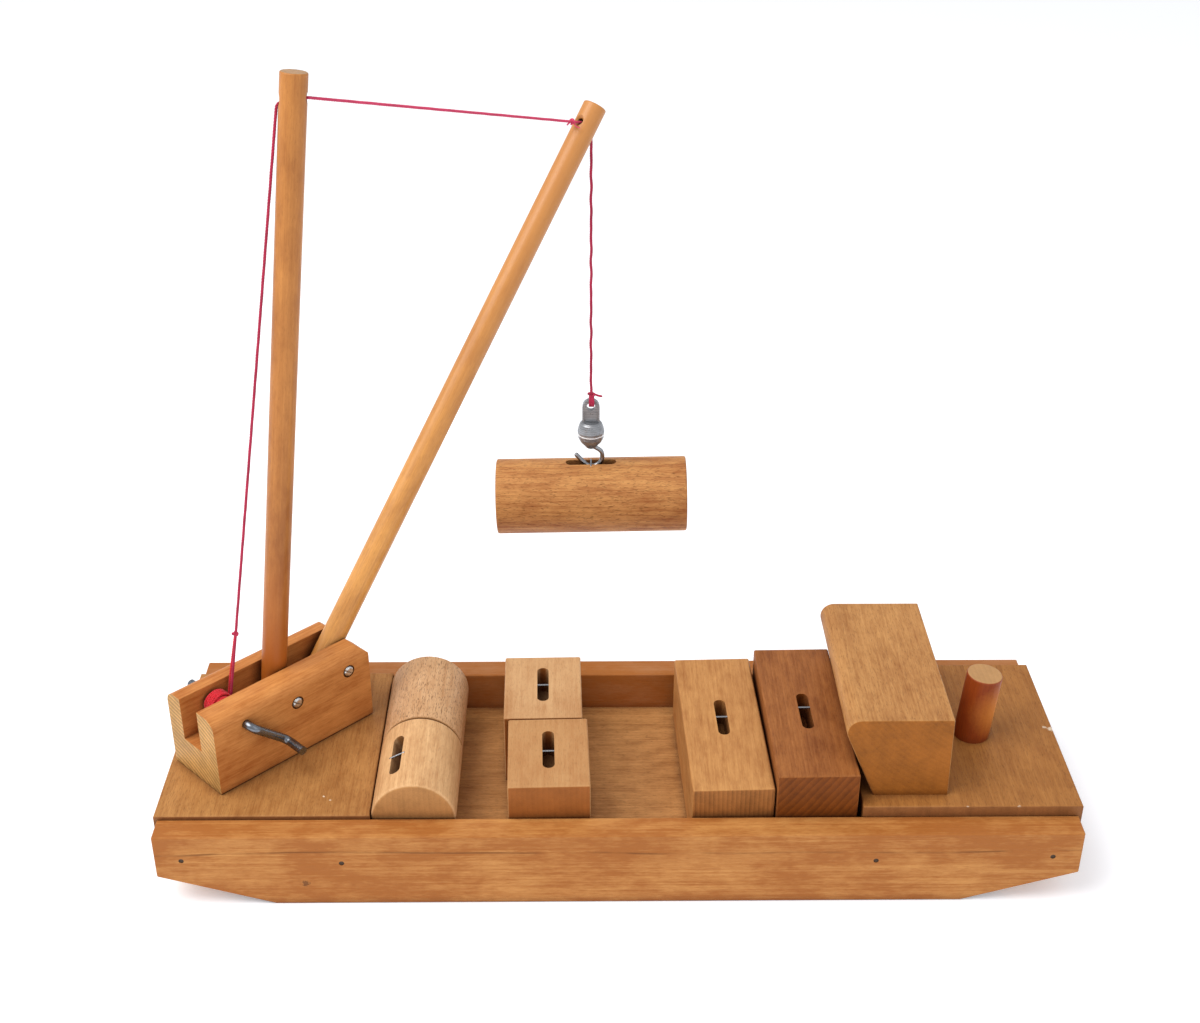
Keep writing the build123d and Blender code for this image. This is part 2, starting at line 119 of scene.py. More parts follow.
# loose ends, as steps from their knot, and their radii as shares of the string's diameter
BOOM_TAIL = (
    (0, 0, 0),
    (-0.0012, -0.0010, 0.0002),
    (-0.0022, -0.0016, -0.0006),
    (-0.0030, -0.0018, -0.0014),
)
BOOM_TAIL_RADIUS = 0.34
BOOM_FRAY = (
    (0, 0, 0),
    (0.0012, -0.0014, -0.0014),
    (0.0028, -0.0022, -0.0024),
    (0.0042, -0.0026, -0.0026),
)
BOOM_FRAY_RADIUS = 0.22
FALL_TAIL = (
    (0, 0, 0),
    (0.0020, -0.0006, 0.0002),
    (0.0045, -0.0010, -0.0008),
    (0.0066, -0.0010, -0.0010),
)
FALL_TAIL_RADIUS = 0.5
TAIL_STEP = 0.0004
TAIL_SIDES = 8
TAIL_TAPER = 0.12

# loops through the swivel's eye: out to the side and down from the knot, the foot, and each loop's place
LOOP_SIDE = ((0.0022, -0.0020), (0.0032, -0.0046), (0.0024, -0.0066))
LOOP_FOOT = -0.0074
LOOP_PLACES = (-0.0007, 0.0004, 0.0013)

# wood: features per metre along and across the grain, and the noise levels where a pattern comes in
STREAK = dict(across=700, detail=5.0, rough=0.65, levels=(0.38, 0.66))
FIBRE = dict(along=190, across=1500, detail=3.0, rough=0.6, levels=(0.35, 0.68))
MOTTLE = dict(along=70, across=150, detail=3.0, rough=0.6, levels=(0.40, 0.66))
BLOTCH = dict(along=14, across=34, detail=3.0, rough=0.5, levels=(0.38, 0.66))
FLECK = dict(along=380, across=2300, detail=1.0, rough=0.5)
FLECK_EDGE = 0.06
RING_WANDER = 2.2
RING_GAP = 0.0026
WOOD_BUMP = 0.00012
WOOD_HOLLOW = 0.010
SMALL_PATCH = 0.002
LINE_WANDER = 0.0012

METAL_BUMP = 0.00004
METAL_HOLLOW = 0.003
STRING_BUMP = 0.00012

LENGTHWAYS = (1, 0, 0)
ACROSS = (0, 1, 0)
CRANE_ALONG = (math.cos(CRANE_TURN), math.sin(CRANE_TURN), 0.0)

KNOT_BROWN = (0.10, 0.035, 0.012)
BARE_WOOD = (0.72, 0.60, 0.46)
# dark red-brown of the painted shade in slots, holes and gaps
WOOD_HOLLOW_SHADE = (0.075, 0.018, 0.006)

FLOOR_HALF = 5.0
FLOOR_COLOUR = (0.90, 0.91, 0.94, 1.0)
FLOOR_GLOW_COLOUR = (0.95, 0.97, 1.0, 1.0)
FLOOR_GLOW = 0.22
SKY_COLOUR = (0.97, 0.98, 1.0, 1.0)
SKY_STRENGTH = 0.75
LIGHT_AIM = (0.0, 0.0, 0.05)
KEY_LIGHT = dict(place_at=(-0.95, -0.35, 1.6), size=1.4, power=27.0, colour=(1.0, 0.985, 0.96))
FILL_LIGHT = dict(place_at=(1.2, -0.9, 1.3), size=1.6, power=5.0, colour=(0.96, 0.98, 1.0))


# ---------------------------------------------------------------- camera

def make_camera():
    data = bpy.data.cameras.new("camera")
    data.lens = CAMERA_LENS
    data.sensor_width = CAMERA_SENSOR
    data.clip_start = CAMERA_NEAR
    camera = bpy.data.objects.new("camera", data)
    bpy.context.scene.collection.objects.link(camera)
    right = Vector(CAMERA_RIGHT).normalized()
    up = Vector(CAMERA_UP)
    up = (up - right * up.dot(right)).normalized()
    back = right.cross(up)
    turn = Matrix((right, up, back)).transposed().to_4x4()
    camera.matrix_world = Matrix.Translation(CAMERA_PLACE) @ turn
    bpy.context.scene.camera = camera


# ---------------------------------------------------------------- node helpers

def new_material(name):
    """An empty material and its shader."""
    material = bpy.data.materials.new(name)
    material.use_nodes = True
    nodes = material.node_tree.nodes
    nodes.clear()
    output = nodes.new("ShaderNodeOutputMaterial")
    shader = nodes.new("ShaderNodeBsdfPrincipled")
    material.node_tree.links.new(shader.outputs[0], output.inputs[0])
    return material, shader


def link(material, source, target):
    material.node_tree.links.new(source, target)


def object_place(material, output="Object"):
    """Where a point is on its object, or the way its surface faces."""
    return material.node_tree.nodes.new("ShaderNodeTexCoord").outputs[output]


def place(material, source, turn=(0, 0, 0), shift=(0, 0, 0), scale=(1, 1, 1)):
    """Coordinates for a pattern: scaled, then turned, then shifted."""
    mapping = material.node_tree.nodes.new("ShaderNodeMapping")
    mapping.inputs["Location"].default_value = shift
    mapping.inputs["Rotation"].default_value = turn
    mapping.inputs["Scale"].default_value = scale
    link(material, source, mapping.inputs["Vector"])
    return mapping.outputs[0]


def noise(material, where, scale, detail=3.0, rough=0.5):
    node = material.node_tree.nodes.new("ShaderNodeTexNoise")
    node.inputs["Scale"].default_value = scale
    node.inputs["Detail"].default_value = detail
    node.inputs["Roughness"].default_value = rough
    link(material, where, node.inputs["Vector"])
    return node.outputs["Fac"]


def wave_scale(gap):
    """The wave texture's scale that makes it repeat at a gap."""
    return 2 * math.pi / (20 * gap)


def ramp(material, value, low, high, at_low=0.0, at_high=1.0):
    """Stretch a value between two levels."""
    node = material.node_tree.nodes.new("ShaderNodeMapRange")
    node.inputs["From Min"].default_value = low
    node.inputs["From Max"].default_value = high
    node.inputs["To Min"].default_value = at_low
    node.inputs["To Max"].default_value = at_high
    link(material, value, node.inputs["Value"])
    return node.outputs[0]


def combine(material, kind, first, second=0.0):
    """Work out a value from one or two others, each a number or a socket."""
    node = material.node_tree.nodes.new("ShaderNodeMath")
    node.operation = kind
    for value, socket in zip((first, second), node.inputs):
        if isinstance(value, (int, float)):
            socket.default_value = value
        else:
            link(material, value, socket)
    return node.outputs[0]


def mix(material, amount, first, second):
    """Mix two colours. Either can be a fixed colour."""
    node = material.node_tree.nodes.new("ShaderNodeMix")
    node.data_type = "RGBA"
    for value, socket in ((amount, node.inputs[0]), (first, node.inputs[6]), (second, node.inputs[7])):
        if isinstance(value, tuple):
            socket.default_value = (*value, 1.0)
        else:
            link(material, value, socket)
    return node.outputs[2]


def darker(colour, share):
    return tuple(c * share for c in colour)


def bump(material, shader, height, distance, strength):
    node = material.node_tree.nodes.new("ShaderNodeBump")
    node.inputs["Strength"].default_value = strength
    node.inputs["Distance"].default_value = distance
    link(material, height, node.inputs["Height"])
    link(material, node.outputs[0], shader.inputs["Normal"])


def hollow(material, reach):
    """One deep in slots, holes and gaps, nothing on open surfaces: an occlusion mask for painted shade in
    these hollows.
    """
    node = material.node_tree.nodes.new("ShaderNodeAmbientOcclusion")
    node.samples = 4
    node.inputs["Distance"].default_value = reach
    return ramp(material, node.outputs["AO"], 0.22, 0.72, 1.0, 0.0)


def paint(material, *nodes):
    for name in nodes:
        for material_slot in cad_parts[name].material_slots:
            material_slot.material = material


# ---------------------------------------------------------------- wood

def spot(material, centre, radius):
    """One inside a round patch, nothing outside. A small patch is ragged, a large one soft."""
    where = object_place(material)
    distance = material.node_tree.nodes.new("ShaderNodeVectorMath")
    distance.operation = "DISTANCE"
    link(material, where, distance.inputs[0])
    distance.inputs[1].default_value = centre
    edge = 0.5 * min(radius, SMALL_PATCH)
    ragged = ramp(material, noise(material, where, 900.0, 2.0), 0.3, 0.7, -edge, edge)
    reach = combine(material, "ADD", distance.outputs["Value"], ragged)
    core = 0.7 if radius <= SMALL_PATCH else 0.2
    return ramp(material, reach, core * radius, 1.1 * radius, 1.0, 0.0)


def facing(material, direction, low=0.7, high=0.95):
    """One where the surface faces along a direction or against it."""
    dot = material.node_tree.nodes.new("ShaderNodeVectorMath")
    dot.operation = "DOT_PRODUCT"
    link(material, object_place(material, "Normal"), dot.inputs[0])
    dot.inputs[1].default_value = Vector(direction).normalized()
    return ramp(material, combine(material, "ABSOLUTE", dot.outputs["Value"]), low, high)


def grain_line(material, height, width):
    """One along a thin line at a height above the floor, which wanders a little."""
    where = object_place(material)
    split = material.node_tree.nodes.new("ShaderNodeSeparateXYZ")
    link(material, where, split.inputs[0])
    wander = ramp(material, noise(material, where, 9.0), 0.3, 0.7, -LINE_WANDER, LINE_WANDER)
    off = combine(material, "SUBTRACT", split.outputs["Z"], height)
    off = combine(material, "ABSOLUTE", combine(material, "ADD", off, wander))
    line = ramp(material, off, 0.3 * width, width, 1.0, 0.0)
    strength = ramp(material, noise(material, where, 45.0), 0.35, 0.62)
    return combine(material, "MULTIPLY", line, strength)


def turn_onto_x(direction):
    """Euler angles that turn a direction onto X."""
    return tuple(Vector(direction).rotation_difference(Vector((1, 0, 0))).to_euler())


def growth_rings(material, where, gap):
    """Rings about the pith, which wander a little."""
    wander = noise(material, place(material, where, scale=(3, 18, 18)), 1.0, 2.0)
    rings = material.node_tree.nodes.new("ShaderNodeTexWave")
    rings.wave_type = "RINGS"
    rings.rings_direction = "X"
    rings.wave_profile = "SAW"
    rings.inputs["Scale"].default_value = wave_scale(gap)
    rings.inputs["Distortion"].default_value = 0.0
    link(material, where, rings.inputs["Vector"])
    phase = ramp(material, wander, 0.3, 0.7, -RING_WANDER, RING_WANDER)
    link(material, phase, rings.inputs["Phase Offset"])
    return ramp(material, rings.outputs["Fac"], 0.25, 1.0)


def drawn_out(material, where, top, along, across, detail, rough, levels):
    """Noise drawn out along the grain, from nothing up to a top level."""
    where = place(material, where, scale=(along, across, across))
    return ramp(material, noise(material, where, 1.0, detail, rough), *levels, 0.0, top)


def wood(name, light, dark, end, grain, pith, ring_gap=RING_GAP, ring_depth=0.15, end_rings=0.12,
         fleck_depth=0.35, fleck_level=0.60, streak_depth=0.35, streak_length=0.036,
         mottle_depth=0.3, blotch_depth=0.25, roughness=0.5, gloss=0.16, marks=(), line=None):
    """Beech: rings about the pith, fibres and pores along the grain, painted shade in the hollows.

    Each mark is a centre, a radius, a strength and a colour. A line is a height, a width and a strength.
    """
    material, shader = new_material(name)
    where = place(material, object_place(material), turn=turn_onto_x(grain), shift=pith)
    ring = growth_rings(material, where, ring_gap)
    streak = drawn_out(material, where, streak_depth, along=1 / streak_length, **STREAK)
    fibre = drawn_out(material, where, 0.6 * streak_depth, **FIBRE)
    mottle = drawn_out(material, where, mottle_depth, **MOTTLE)
    blotch = drawn_out(material, where, blotch_depth, **BLOTCH)
    fleck_levels = (fleck_level, fleck_level + FLECK_EDGE)
    fleck = drawn_out(material, where, fleck_depth, levels=fleck_levels, **FLECK)
    cloud = combine(material, "ADD", mottle, blotch)

    tone = combine(material, "MAXIMUM", combine(material, "MULTIPLY", ring, ring_depth), streak)
    tone = combine(material, "ADD", combine(material, "ADD", tone, fibre), cloud)
    colour = mix(material, combine(material, "MINIMUM", tone, 1.0), light, dark)
    colour = mix(material, fleck, colour, darker(dark, 0.35))

    end_tone = combine(material, "ADD", combine(material, "MULTIPLY", ring, end_rings), cloud)
    end_tone = combine(material, "MINIMUM", combine(material, "ADD", end_tone, fibre), 1.0)
    end_colour = mix(material, end_tone, end, darker(end, 0.45))
    colour = mix(material, facing(material, grain), colour, end_colour)

    if line is not None:
        height, width, strength = line
        amount = combine(material, "MULTIPLY", grain_line(material, height, width), strength)
        colour = mix(material, amount, colour, darker(dark, 0.5))
    for centre, radius, strength, mark in marks:
        amount = combine(material, "MULTIPLY", spot(material, centre, radius), strength)
        colour = mix(material, amount, colour, mark)
    # painted shade: the wood darkens towards this colour where occlusion finds slots, holes and gaps
    hollow_shade = combine(material, "MULTIPLY", hollow(material, WOOD_HOLLOW), 0.85)
    link(material, mix(material, hollow_shade, colour, WOOD_HOLLOW_SHADE), shader.inputs["Base Color"])

    rough = ramp(material, streak, 0.0, streak_depth, roughness - 0.06, roughness + 0.08)
    link(material, rough, shader.inputs["Roughness"])
    shader.inputs["Specular IOR Level"].default_value = gloss
    pits = combine(material, "ADD", combine(material, "ADD", streak, fibre), fleck)
    bump(material, shader, combine(material, "SUBTRACT", 0.0, pits), WOOD_BUMP, 0.7)
    return material


def crane_direction(lean):
    """A direction that leans from the vertical towards the crane's fore end."""
    return Vector(CRANE_ALONG) * math.sin(lean) + Vector((0, 0, math.cos(lean)))


def paint_hull():
    side = dict(dark=(0.36, 0.122, 0.026), end=(0.42, 0.18, 0.06), grain=LENGTHWAYS, ring_gap=0.009,
                ring_depth=0.3, fleck_depth=0.12, streak_depth=0.5, streak_length=0.08,
                mottle_depth=0.4, blotch_depth=0.5)
    near = wood("near_side_wood", light=(0.58, 0.272, 0.080), pith=(0.1, 0.17, -0.05),
                line=(0.0318, 0.0008, 0.8),
                marks=[((-0.153, -0.0735, 0.013), 0.0018, 0.7, KNOT_BROWN)], **side)
    paint(near, "near_side_board")
    # The far board's light colour is darker than the near board's: painted shade for its inner face, which
    # lies in shadow.
    far = wood("far_side_shaded_wood", light=(0.42, 0.185, 0.074), pith=(0.4, -0.15, -0.04), **side)
    paint(far, "far_side_board")
    bottom = wood("bottom_wood", light=(0.62, 0.31, 0.108), dark=(0.26, 0.10, 0.028),
                  end=(0.30, 0.12, 0.04), grain=LENGTHWAYS, pith=(0.2, 0.02, 0.12))
    paint(bottom, "bottom_board")
    deck = dict(dark=(0.26, 0.096, 0.023), end=(0.35, 0.14, 0.045), grain=ACROSS, fleck_depth=0.3)
    aft = wood("aft_deck_wood", light=(0.49, 0.236, 0.073), pith=(0.0, 0.05, 0.11),
               marks=[((-0.1457, -0.0452, 0.044), 0.0006, 0.9, BARE_WOOD),
                      ((-0.1420, -0.0480, 0.044), 0.0005, 0.8, BARE_WOOD)], **deck)
    paint(aft, "aft_deck")
    fore = wood("fore_deck_wood", light=(0.43, 0.186, 0.048), pith=(0.185, -0.02, -0.05),
                ring_gap=0.004, ring_depth=0.35,
                marks=[((0.2255, 0.0015, 0.048), 0.0017, 0.8, BARE_WOOD),
                       ((0.2225, 0.0030, 0.048), 0.0010, 0.6, BARE_WOOD),
                       ((0.1950, -0.0600, 0.048), 0.0008, 0.5, BARE_WOOD),
                       ((0.1700, -0.0600, 0.048), 0.0006, 0.5, BARE_WOOD)], **deck)
    paint(fore, "fore_deck")
    house = wood("deckhouse_wood", light=(0.56, 0.28, 0.094), dark=(0.28, 0.105, 0.028),
                 end=(0.38, 0.125, 0.017), grain=ACROSS, pith=(0.1, 0.21, -0.16), fleck_depth=0.3)
    paint(house, "deckhouse")
    # The funnel's dark red-brown colour is a painted shadow of the deckhouse, and the light orange mark is
    # its painted lit side.
    funnel = wood("funnel_wood", light=(0.32, 0.060, 0.008), dark=(0.14, 0.015, 0.003),
                  end=(0.50, 0.265, 0.10), grain=(0.08, 0, 1), pith=(0.2, 0.03, -0.2),
                  fleck_depth=0.15, streak_depth=0.2, mottle_depth=0.15, blotch_depth=0.15, gloss=0.3,
                  marks=[((0.1960, -0.0060, 0.066), 0.0170, 0.9, (0.66, 0.23, 0.035))])
    paint(funnel, "funnel")


def paint_crane():
    # The end colour is lighter than the sides: painted light for the key lamp falling on the base's end
    # face.
    base = wood("crane_wood", light=(0.66, 0.28, 0.080), dark=(0.36, 0.105, 0.020),
                end=(0.74, 0.40, 0.125), grain=CRANE_ALONG, pith=(0.09, -0.16, 0.02),
                end_rings=0.9, fleck_depth=0.12, blotch_depth=0.35)
    paint(base, "crane_base")
    stick = dict(end=(0.42, 0.22, 0.08), fleck_depth=0.12, streak_depth=0.22, streak_length=0.10,
                 mottle_depth=0.22, blotch_depth=0.38, roughness=0.38)
    mast = wood("mast_wood", light=(0.56, 0.228, 0.054), dark=(0.25, 0.072, 0.014),
                grain=crane_direction(MAST_LEAN), pith=(0.1, 0.02, 0.02), gloss=0.3,
                marks=[((-0.1763, 0.0034, 0.085), 0.065, 0.85, (0.36, 0.085, 0.006))], **stick)
    paint(mast, "mast")
    # The boom's light colour is raised to stand in for its sheen, and the mark darkens its top third, so
    # its lower and middle part carry a painted highlight.
    boom = wood("boom_wood", light=(0.80, 0.375, 0.092), dark=(0.32, 0.105, 0.020),
                grain=crane_direction(BOOM_LEAN), pith=(0.3, 0.04, -0.02), gloss=0.5,
                marks=[((-0.016, 0.164, 0.322), 0.24, 0.85, (0.50, 0.20, 0.045))], **stick)
    paint(boom, "boom")


def paint_cargo():
    log = dict(dark=(0.40, 0.18, 0.065), grain=ACROSS, mottle_depth=0.22, blotch_depth=0.2)
    near_log = wood("near_log_wood", light=(0.79, 0.49, 0.24), end=(0.52, 0.245, 0.082),
                    pith=(0.1, 0.03, -0.05), fleck_depth=0.2, **log)
    paint(near_log, "log_near")
    far_log = wood("far_log_wood", light=(0.70, 0.43, 0.23), end=(0.50, 0.25, 0.09),
                   pith=(0.2, -0.12, -0.02), fleck_depth=0.6, fleck_level=0.585, **log)
    paint(far_log, "log_far")
    hung_log = wood("hung_log_wood", light=(0.67, 0.33, 0.108), dark=(0.33, 0.11, 0.032),
                    end=(0.36, 0.14, 0.045), grain=LENGTHWAYS, pith=(0.1, -0.12, -0.03),
                    fleck_depth=0.55, streak_depth=0.5)
    paint(hung_log, "hung_log")
    small = dict(dark=(0.36, 0.145, 0.046), end=(0.37, 0.12, 0.026), grain=ACROSS, fleck_depth=0.2,
                 streak_depth=0.25, mottle_depth=0.22)
    near_small = wood("near_small_wood", light=(0.53, 0.29, 0.120), pith=(0.1, 0.08, -0.05), **small)
    paint(near_small, "small_block_near")
    far_small = wood("far_small_wood", light=(0.62, 0.37, 0.178), pith=(0.3, 0.05, -0.15), **small)
    paint(far_small, "small_block_far")
    long_wood = wood("long_block_wood", light=(0.60, 0.30, 0.100), dark=(0.33, 0.125, 0.034),
                     end=(0.41, 0.155, 0.040), grain=ACROSS, pith=(0.2, 0.6, -0.05),
                     ring_gap=0.0022, end_rings=0.45, fleck_depth=0.12)
    paint(long_wood, "long_block")
    tall_wood = wood("tall_block_wood", light=(0.40, 0.150, 0.040), dark=(0.18, 0.050, 0.011),
                     end=(0.25, 0.065, 0.0075), grain=ACROSS, pith=(0.4, -0.3, -0.36),
                     ring_gap=0.0032, ring_depth=0.3, end_rings=0.5, fleck_depth=0.2)
    paint(tall_wood, "tall_block")


# ---------------------------------------------------------------- metal

def level_ribs(material, where, gap):
    ribs = material.node_tree.nodes.new("ShaderNodeTexWave")
    ribs.bands_direction = "Z"
    ribs.inputs["Scale"].default_value = wave_scale(gap)
    link(material, where, ribs.inputs["Vector"])
    return ramp(material, ribs.outputs["Fac"], 0.55, 1.0, 0.0, 0.7)


def metal(name, colour, roughness, mottle=0.3, scale=900.0, metallic=1.0, rib_gap=None, hollow_shade_depth=0.4):
    """Metal with fine grain, painted shade in its hollows and, if asked for, level ribs."""
    material, shader = new_material(name)
    where = object_place(material)
    fine = noise(material, where, scale, 4.0, 0.6)
    broad = noise(material, where, scale / 8, 2.0)
    amount = ramp(material, combine(material, "MULTIPLY", fine, broad), 0.15, 0.4, 0.0, mottle)
    if rib_gap is not None:
        amount = combine(material, "MAXIMUM", amount, level_ribs(material, where, rib_gap))
    shade = mix(material, amount, colour, darker(colour, 0.4))
    # painted shade: the metal darkens in hollows where occlusion falls
    hollow_shade = combine(material, "MULTIPLY", hollow(material, METAL_HOLLOW), hollow_shade_depth)
    base = mix(material, hollow_shade, shade, darker(colour, 0.12))
    link(material, base, shader.inputs["Base Color"])
    rough = ramp(material, fine, 0.3, 0.7, roughness - 0.08, roughness + 0.12)
    link(material, rough, shader.inputs["Roughness"])
    shader.inputs["Metallic"].default_value = metallic
    bump(material, shader, fine, METAL_BUMP, 0.6)
    return material


def paint_metal():
    bright = metal("bright_steel", (0.62, 0.61, 0.60), 0.28)
    hook = metal("hook_wire", (0.34, 0.345, 0.36), 0.25, mottle=0.4)
    nails = metal("nail_steel", (0.10, 0.07, 0.05), 0.6)
    blued = metal("blued_steel", (0.20, 0.215, 0.24), 0.25, mottle=0.45, scale=500.0)
    zinc = metal("dull_zinc", (0.37, 0.38, 0.40), 0.32, mottle=0.7, scale=700.0, metallic=0.7,
                 rib_gap=0.0011, hollow_shade_depth=0.9)
    ring = metal("polished_ring", (0.95, 0.95, 0.96), 0.30, mottle=0.0, metallic=0.3, hollow_shade_depth=0.0)
    staples = [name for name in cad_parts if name.endswith("_staple")]
    paint(bright, "mast_screw", "boom_screw", "slew_screw", "slew_washer")
    paint(ring, "swivel_ring")
    paint(hook, "load_hook", *staples)
    paint(nails, "side_nails")
    paint(blued, "crank")
    paint(zinc, "swivel_eye", "swivel_weight")


# ---------------------------------------------------------------- lines in space

def crane_point(x, y, z):
    """Turn a point in the crane's own axes into one in the object's axes."""
    turn = Matrix.Rotation(CRANE_TURN, 3, "Z")
    return CRANE_PLACE + turn @ Vector((x, y, z))


def crane_route(points):
    return [crane_point(*point) for point in points]


def steps_from(start, steps):
    return [start + Vector(step) for step in steps]


def smooth_path(points):
    """Points read from a NURBS spline that has the given points as its control points."""
    curve = bpy.data.curves.new("route", "CURVE")
    curve.dimensions = "3D"
    curve.resolution_u = 6
    spline = curve.splines.new("NURBS")
    spline.points.add(len(points) - 1)
    for point, place_at in zip(spline.points, points):
        point.co = (*place_at, 1.0)
    spline.order_u = 3
    spline.use_endpoint_u = True
    holder = bpy.data.objects.new("route", curve)
    mesh = bpy.data.meshes.new_from_object(holder)
    path = [v.co.copy() for v in mesh.vertices]
    bpy.data.objects.remove(holder)
    bpy.data.meshes.remove(mesh)
    bpy.data.curves.remove(curve)
    return path


def even_path(path, step):
    """The same line with points a step apart."""
    lengths = [0.0]
    for before, after in zip(path, path[1:]):
        lengths.append(lengths[-1] + (after - before).length)
    count = max(2, round(lengths[-1] / step) + 1)
    out = []
    at = 0
    for index in range(count):
        target = lengths[-1] * index / (count - 1)
        while at < len(lengths) - 2 and lengths[at + 1] < target:
            at += 1
        span = lengths[at + 1] - lengths[at]
        share = (target - lengths[at]) / span if span else 0.0
        out.append(path[at].lerp(path[at + 1], share))
    return out


def frames_along(path):
    """Two directions across the line at each of its points, without twist."""
    out = []
    side = None
    for index in range(len(path)):
        before = path[max(index - 1, 0)]
        after = path[min(index + 1, len(path) - 1)]
        ahead = (after - before).normalized()
        if side is None:
            side = ahead.orthogonal().normalized()
        side = (side - ahead * side.dot(ahead)).normalized()
        out.append((side, ahead.cross(side)))
    return out


# ---------------------------------------------------------------- string

def string_material(name, colour, deep):
    """Twisted cotton, with darker fibres and patches."""
    material, shader = new_material(name)
    where = object_place(material)
    fibre = noise(material, where, 2600.0, 3.0, 0.65)
    patch = noise(material, where, 160.0, 2.0)
    amount = combine(material, "MULTIPLY", ramp(material, fibre, 0.35, 0.7), 0.6)
    base = mix(material, amount, colour, deep)
    base = mix(material, ramp(material, patch, 0.4, 0.7, 0.0, 0.4), base, deep)
    link(material, base, shader.inputs["Base Color"])
    shader.inputs["Roughness"].default_value = 0.85
    shader.inputs["Sheen Weight"].default_value = 0.15
    shader.inputs["Sheen Roughness"].default_value = 0.5
    bump(material, shader, fibre, STRING_BUMP, 0.8)
    return material


def tube(vertices, faces, path, radius_at, sides):
    """Add a closed tube round a path to lists of vertices and faces."""
    first = len(vertices)
    across = frames_along(path)
    for index, (point, (side, other)) in enumerate(zip(path, across)):
        radius = radius_at(index / (len(path) - 1))
        for k in range(sides):
            angle = 2 * math.pi * k / sides
            vertices.append(point + radius * (side * math.cos(angle) + other * math.sin(angle)))
    for index in range(len(path) - 1):
        row = first + index * sides
        for k in range(sides):
            after = (k + 1) % sides
            faces.append((row + k, row + after, row + sides + after, row + sides + k))
    faces.append(tuple(first + k for k in reversed(range(sides))))
    last = first + (len(path) - 1) * sides
    faces.append(tuple(last + k for k in range(sides)))


def mesh_piece(name, vertices, faces, material):
    mesh = bpy.data.meshes.new(name)
    mesh.from_pydata([tuple(v) for v in vertices], [], faces)
    mesh.shade_smooth()
    mesh.materials.append(material)
    piece = bpy.data.objects.new(name, mesh)
    bpy.context.scene.collection.objects.link(piece)
    return piece


def even_radius(radius):
    return lambda share: radius


def taper(radius):
    """A radius that closes towards both ends."""
    def at(share):
        near = min(share, 1 - share) / TAIL_TAPER
        return radius * math.sqrt(max(0.02, 1 - max(0.0, 1 - near) ** 2))
    return at


def twisted(name, path, material, step=STRING_STEP, sides=STRAND_SIDES, fullness=1.0, sway=0.02):
    """A string of strands twisted round a path, which sways a little about it."""
    path = even_path(path, step)
    across = frames_along(path)
    vertices = []
    faces = []
    offset = STRING_DIAMETER * STRAND_OFFSET * fullness
    radius = STRING_DIAMETER * STRAND_RADIUS * fullness
    for strand in range(STRAND_COUNT):
        start = 2 * math.pi * strand / STRAND_COUNT
        line = []
        for index, (point, (side, other)) in enumerate(zip(path, across)):
            distance = index * step
            angle = start + 2 * math.pi * distance / STRAND_TWIST
            kink = side * math.sin(distance * KINK_WAVES[0]) + other * math.cos(distance * KINK_WAVES[1])
            kink = STRING_DIAMETER * sway * kink
            line.append(point + kink + offset * (side * math.cos(angle) + other * math.sin(angle)))
        tube(vertices, faces, line, even_radius(radius), sides)
    return mesh_piece(name, vertices, faces, material), path


def knot(name, centre, axis, size, material):
    """An overhand knot pulled tight: a trefoil of string about an axis."""
    axis = Vector(axis).normalized()
    side = axis.orthogonal().normalized()
    other = axis.cross(side)
    line = []
    for index in range(KNOT_POINTS + 1):
        t = 2 * math.pi * index / KNOT_POINTS
        x = math.sin(t) + 2 * math.sin(2 * t)
        y = math.cos(t) - 2 * math.cos(2 * t)
        z = -math.sin(3 * t)
        line.append(Vector(centre) + size / 3 * (side * x + other * y) + size * 0.42 * axis * z)
    vertices = []
    faces = []
    tube(vertices, faces, line, even_radius(STRING_DIAMETER * KNOT_STRING_RADIUS), KNOT_SIDES)
    return mesh_piece(name, vertices, faces, material)


def tail(name, points, material, radius):
    """A short piece of string with closed ends. Its radius is a share of the string's diameter."""
    vertices = []
    faces = []
    path = even_path(smooth_path(points), TAIL_STEP)
    tube(vertices, faces, path, taper(STRING_DIAMETER * radius), TAIL_SIDES)
    return mesh_piece(name, vertices, faces, material)


def winding_route():
    """Turn by turn over the axle, layer on layer, each a little uneven."""
    rng = random.Random(WINDING_SEED)
    axle = Vector(CRANK_AXLE)
    points = []
    heading = 1
    step = 2 * math.pi / WINDING_POINTS_PER_TURN
    all_turns = sum(turns for _, turns in WINDING_LAYERS)
    angle = WINDING_END_ANGLE - step * WINDING_POINTS_PER_TURN * all_turns
    for layer_radius, turns in WINDING_LAYERS:
        width = turns * WINDING_PITCH
        count = turns * WINDING_POINTS_PER_TURN
        for index in range(count):
            radius = layer_radius + rng.uniform(-WINDING_LIFT, WINDING_LIFT)
            x = axle.x + radius * math.cos(angle)
            y = axle.y + heading * width * (index / count - 0.5) + rng.uniform(-WINDING_SLIP, WINDING_SLIP)
            z = axle.z + radius * math.sin(angle)
            points.append(crane_point(x, y, z))
            angle += step
        heading = -heading
    return points


def make_winding(material):
    path = even_path(smooth_path(winding_route()), WINDING_STEP)
    piece, path = twisted("wound_string", path, material, step=WINDING_STEP, sides=WINDING_SIDES)
    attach(piece, "winch")
    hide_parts("string_winding")


def make_back_string(material, bright):
    piece, path = twisted("back_string_twist", smooth_path(crane_route(BACK_STRING_ROUTE)), material)
    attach(piece, "crane")
    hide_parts("back_string")
    direction = path[-BACK_STRING_BEND_POINTS] - path[0]
    lump = knot("back_string_knot", crane_point(*BACK_KNOT), direction, SMALL_KNOT, material)
    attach(lump, "crane")
    second, _ = twisted("back_string_loop", smooth_path(crane_route(BACK_LOOP_ROUTE)), bright)
    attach(second, "crane")


